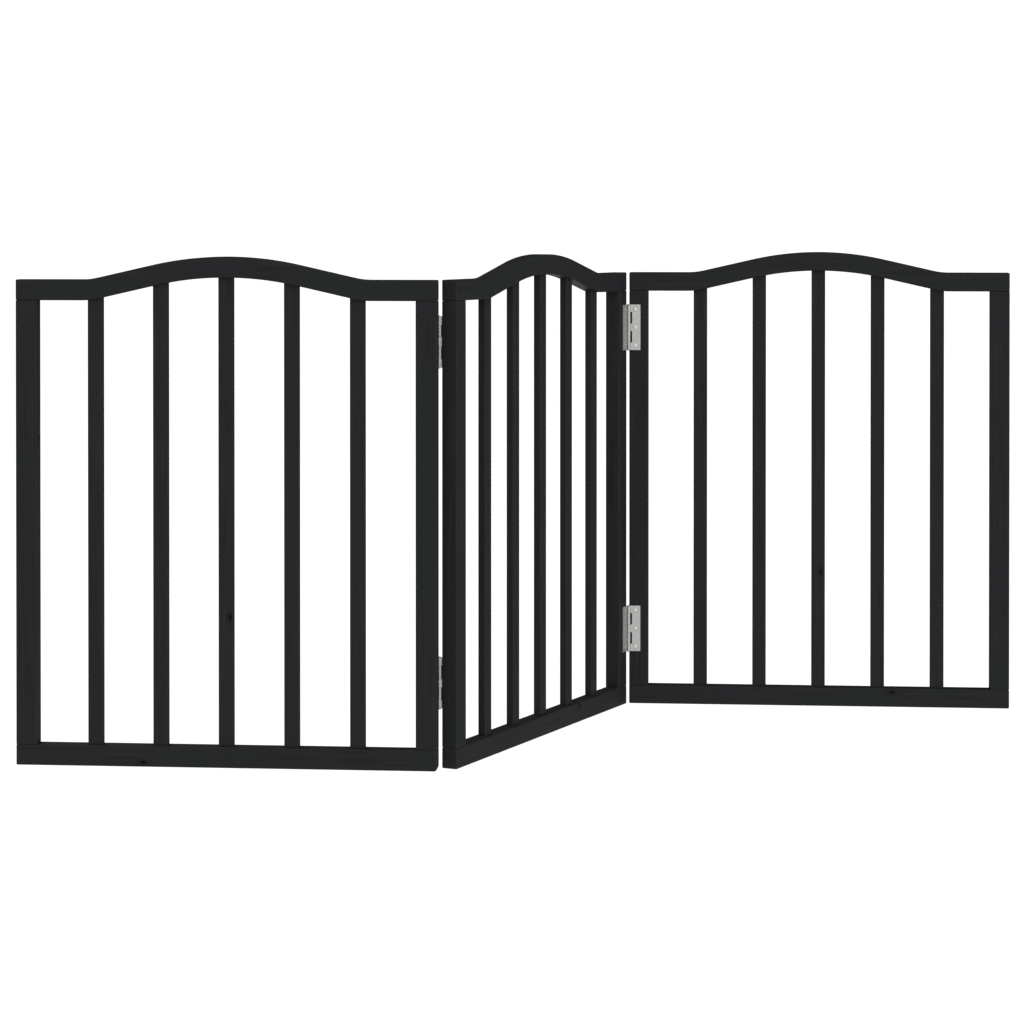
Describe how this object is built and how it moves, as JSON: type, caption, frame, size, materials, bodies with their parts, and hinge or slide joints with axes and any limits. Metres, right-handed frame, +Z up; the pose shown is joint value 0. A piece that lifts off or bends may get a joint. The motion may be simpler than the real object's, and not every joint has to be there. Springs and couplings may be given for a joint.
{
  "type": "pet gate",
  "caption": "Freestanding folding pet gate: slatted wooden panels with arched top rails, standing in a zigzag and joined by steel butt hinges so that they fold flat.",
  "frame": {"origin": "on the floor, under the centre of the middle panel", "axes": "+Z up; +X along the two outer panels, to the right seen from the front; +Y to the back, so the left panel stands at the front (-Y) and the right panel at the back (+Y)"},
  "size_m": [1.2754, 0.5342, 0.6366],
  "materials": {
    "black_painted_wood": "satin black paint over softwood, grain and small knots just showing",
    "hinge_zinc": "satin zinc-plated steel sheet",
    "hinge_pin": "zinc-plated steel with peened ends",
    "screw_zinc": "bright zinc-plated steel"
  },
  "bodies": {
    "middle_panel": {"left_lower_hinge_middle_bottom_screw": "screw_zinc", "left_lower_hinge_middle_leaf": "hinge_zinc", "left_lower_hinge_middle_top_screw": "screw_zinc", "left_upper_hinge_middle_bottom_screw": "screw_zinc", "left_upper_hinge_middle_leaf": "hinge_zinc", "left_upper_hinge_middle_top_screw": "screw_zinc", "middle_bottom_rail": "black_painted_wood", "middle_left_stile": "black_painted_wood", "middle_right_stile": "black_painted_wood", "middle_slat_1": "black_painted_wood", "middle_slat_2": "black_painted_wood", "middle_slat_3": "black_painted_wood", "middle_slat_4": "black_painted_wood", "middle_slat_5": "black_painted_wood", "middle_top_rail": "black_painted_wood", "right_lower_hinge_middle_bottom_screw": "screw_zinc", "right_lower_hinge_middle_leaf": "hinge_zinc", "right_lower_hinge_middle_top_screw": "screw_zinc", "right_upper_hinge_middle_bottom_screw": "screw_zinc", "right_upper_hinge_middle_leaf": "hinge_zinc", "right_upper_hinge_middle_top_screw": "screw_zinc"},
    "left_panel": {"left_bottom_rail": "black_painted_wood", "left_end_stile": "black_painted_wood", "left_hinge_stile": "black_painted_wood", "left_lower_hinge_outer_bottom_screw": "screw_zinc", "left_lower_hinge_outer_leaf": "hinge_zinc", "left_lower_hinge_outer_top_screw": "screw_zinc", "left_lower_hinge_pin": "hinge_pin", "left_slat_1": "black_painted_wood", "left_slat_2": "black_painted_wood", "left_slat_3": "black_painted_wood", "left_slat_4": "black_painted_wood", "left_slat_5": "black_painted_wood", "left_top_rail": "black_painted_wood", "left_upper_hinge_outer_bottom_screw": "screw_zinc", "left_upper_hinge_outer_leaf": "hinge_zinc", "left_upper_hinge_outer_top_screw": "screw_zinc", "left_upper_hinge_pin": "hinge_pin"},
    "right_panel": {"right_bottom_rail": "black_painted_wood", "right_end_stile": "black_painted_wood", "right_hinge_stile": "black_painted_wood", "right_lower_hinge_outer_bottom_screw": "screw_zinc", "right_lower_hinge_outer_leaf": "hinge_zinc", "right_lower_hinge_outer_top_screw": "screw_zinc", "right_lower_hinge_pin": "hinge_pin", "right_slat_1": "black_painted_wood", "right_slat_2": "black_painted_wood", "right_slat_3": "black_painted_wood", "right_slat_4": "black_painted_wood", "right_slat_5": "black_painted_wood", "right_top_rail": "black_painted_wood", "right_upper_hinge_outer_bottom_screw": "screw_zinc", "right_upper_hinge_outer_leaf": "hinge_zinc", "right_upper_hinge_outer_top_screw": "screw_zinc", "right_upper_hinge_pin": "hinge_pin"}
  },
  "joints": [
    {"name": "left_fold", "type": "hinge", "parent": "middle_panel", "child": "left_panel", "pos_m": [-0.10706, -0.24337, 0.3], "axis": [0, 0, -1], "range_deg": [-69.1, 110.9]},
    {"name": "right_fold", "type": "hinge", "parent": "middle_panel", "child": "right_panel", "pos_m": [0.10706, 0.24337, 0.3], "axis": [0, 0, -1], "range_deg": [-69.1, 110.9]}
  ]
}
